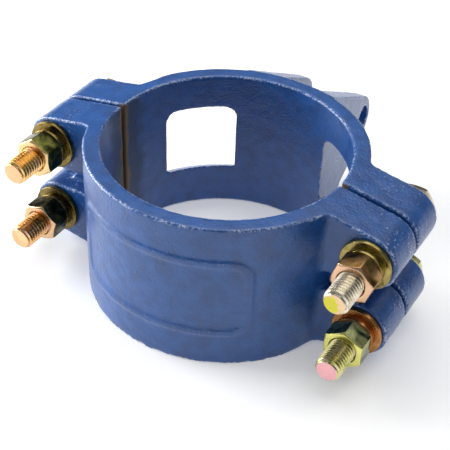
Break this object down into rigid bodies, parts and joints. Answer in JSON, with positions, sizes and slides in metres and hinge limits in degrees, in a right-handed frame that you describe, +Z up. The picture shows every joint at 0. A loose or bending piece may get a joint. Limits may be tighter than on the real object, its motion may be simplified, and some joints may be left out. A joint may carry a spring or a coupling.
{
  "type": "pipe repair clamp",
  "caption": "Split cast ring clamp that bolts round a pipe, with lugs on both sides, through bolts across the split, see-through windows and a drilled clevis behind.",
  "frame": {"origin": "on the pipe axis in the bottom plane of the ring", "axes": "+Z up along the pipe, +Y towards the back half and its drilled ears, -Y towards the nuts, X across the lugs"},
  "size_m": [0.1924, 0.1842, 0.076],
  "materials": {
    "blue_enamel": "glossy blue enamel over rough cast iron",
    "zinc_steel": "yellow zinc plated steel with an iridescent sheen"
  },
  "bodies": {
    "back": {"back_half": "blue_enamel"},
    "front": {"front_half": "blue_enamel"},
    "bolt_lower_left": {"bolt_lower_left": "zinc_steel"},
    "washers_lower_left": {"washer_lower_left": "zinc_steel", "lock_washer_lower_left": "zinc_steel"},
    "nut_lower_left": {"nut_lower_left": "zinc_steel"},
    "bolt_lower_right": {"bolt_lower_right": "zinc_steel"},
    "washers_lower_right": {"washer_lower_right": "zinc_steel", "lock_washer_lower_right": "zinc_steel"},
    "nut_lower_right": {"nut_lower_right": "zinc_steel"},
    "bolt_upper_left": {"bolt_upper_left": "zinc_steel"},
    "washers_upper_left": {"washer_upper_left": "zinc_steel", "lock_washer_upper_left": "zinc_steel"},
    "nut_upper_left": {"nut_upper_left": "zinc_steel"},
    "bolt_upper_right": {"bolt_upper_right": "zinc_steel"},
    "washers_upper_right": {"washer_upper_right": "zinc_steel", "lock_washer_upper_right": "zinc_steel"},
    "nut_upper_right": {"nut_upper_right": "zinc_steel"}
  },
  "joints": [
    {"name": "front_slide", "type": "slide", "parent": "back", "child": "front", "axis": [0, -1, 0], "range_m": [-0.002, 0.013]},
    {"name": "bolt_turn_lower_left", "type": "hinge", "parent": "back", "child": "bolt_lower_left", "pos_m": [-0.0825, 0, 0.019], "axis": [0, -1, 0], "continuous": true},
    {"name": "washer_turn_lower_left", "type": "hinge", "parent": "front", "child": "washers_lower_left", "pos_m": [-0.0825, 0, 0.019], "axis": [0, -1, 0], "continuous": true},
    {"name": "nut_turn_lower_left", "type": "hinge", "parent": "front", "child": "nut_lower_left", "pos_m": [-0.0825, 0, 0.019], "axis": [0, -1, 0], "range_deg": [-420, 2700]},
    {"name": "bolt_turn_lower_right", "type": "hinge", "parent": "back", "child": "bolt_lower_right", "pos_m": [0.0825, 0, 0.019], "axis": [0, -1, 0], "continuous": true},
    {"name": "washer_turn_lower_right", "type": "hinge", "parent": "front", "child": "washers_lower_right", "pos_m": [0.0825, 0, 0.019], "axis": [0, -1, 0], "continuous": true},
    {"name": "nut_turn_lower_right", "type": "hinge", "parent": "front", "child": "nut_lower_right", "pos_m": [0.0825, 0, 0.019], "axis": [0, -1, 0], "range_deg": [-420, 2700]},
    {"name": "bolt_turn_upper_left", "type": "hinge", "parent": "back", "child": "bolt_upper_left", "pos_m": [-0.0825, 0, 0.057], "axis": [0, -1, 0], "continuous": true},
    {"name": "washer_turn_upper_left", "type": "hinge", "parent": "front", "child": "washers_upper_left", "pos_m": [-0.0825, 0, 0.057], "axis": [0, -1, 0], "continuous": true},
    {"name": "nut_turn_upper_left", "type": "hinge", "parent": "front", "child": "nut_upper_left", "pos_m": [-0.0825, 0, 0.057], "axis": [0, -1, 0], "range_deg": [-420, 2700]},
    {"name": "bolt_turn_upper_right", "type": "hinge", "parent": "back", "child": "bolt_upper_right", "pos_m": [0.0825, 0, 0.057], "axis": [0, -1, 0], "continuous": true},
    {"name": "washer_turn_upper_right", "type": "hinge", "parent": "front", "child": "washers_upper_right", "pos_m": [0.0825, 0, 0.057], "axis": [0, -1, 0], "continuous": true},
    {"name": "nut_turn_upper_right", "type": "hinge", "parent": "front", "child": "nut_upper_right", "pos_m": [0.0825, 0, 0.057], "axis": [0, -1, 0], "range_deg": [-420, 2700]}
  ],
  "couplings": [
    {"joint": "nut_turn_lower_left", "follows": "front_slide", "rad_per_m": 3590.4},
    {"joint": "nut_turn_lower_right", "follows": "front_slide", "rad_per_m": 3590.4},
    {"joint": "nut_turn_upper_left", "follows": "front_slide", "rad_per_m": 3590.4},
    {"joint": "nut_turn_upper_right", "follows": "front_slide", "rad_per_m": 3590.4}
  ]
}
